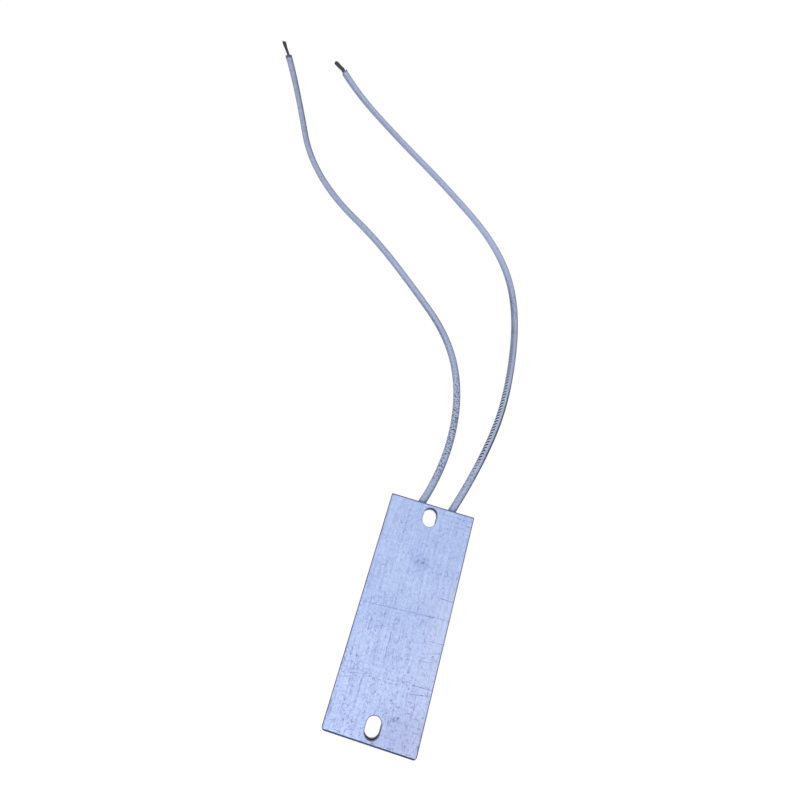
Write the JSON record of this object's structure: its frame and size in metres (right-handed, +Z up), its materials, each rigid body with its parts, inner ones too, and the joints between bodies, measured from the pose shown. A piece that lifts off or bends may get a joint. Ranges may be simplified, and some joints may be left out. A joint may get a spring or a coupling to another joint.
{
  "type": "wirewound resistor",
  "caption": "Flat wirewound resistor: slotted aluminium shell, resistance wire on mica cards inside, cement seals and loose glass-braid leads with bare stranded ends.",
  "frame": {"origin": "centre of the shell's underside, on the surface that the resistor lies on", "axes": "+X across the shell's width, +Y along its length to the end where the leads come out, +Z up"},
  "size_m": [0.1433, 0.2636, 0.0045],
  "materials": {
    "aluminium_shell": "mill finish with fine lengthwise drawing lines and scratches",
    "mica": "smooth pearly sheet",
    "resistance_alloy": "bright drawn flat wire",
    "plated_crimp": "nickel plated, pressed",
    "stranded_copper": "darkened bare strands",
    "cement": "matt cast cement",
    "glass_braid": "woven glass-fibre sleeve with darker flecks"
  },
  "bodies": {
    "root": {"shell": "aluminium_shell", "upper_mica_sheet": "mica", "lower_mica_sheet": "mica", "left_edge_strip": "mica", "right_edge_strip": "mica", "centre_strip": "mica", "left_winding_card": "mica", "right_winding_card": "mica", "resistance_wire": "resistance_alloy", "left_crimp": "plated_crimp", "right_crimp": "plated_crimp", "left_conductor": "stranded_copper", "right_conductor": "stranded_copper", "left_gripped_sleeve": "glass_braid", "right_gripped_sleeve": "glass_braid", "lead_end_seal": "cement", "blind_end_seal": "cement", "left_lead": "glass_braid", "right_lead": "glass_braid", "left_bare_strands": "stranded_copper", "right_bare_strands": "stranded_copper"}
  },
  "joints": []
}
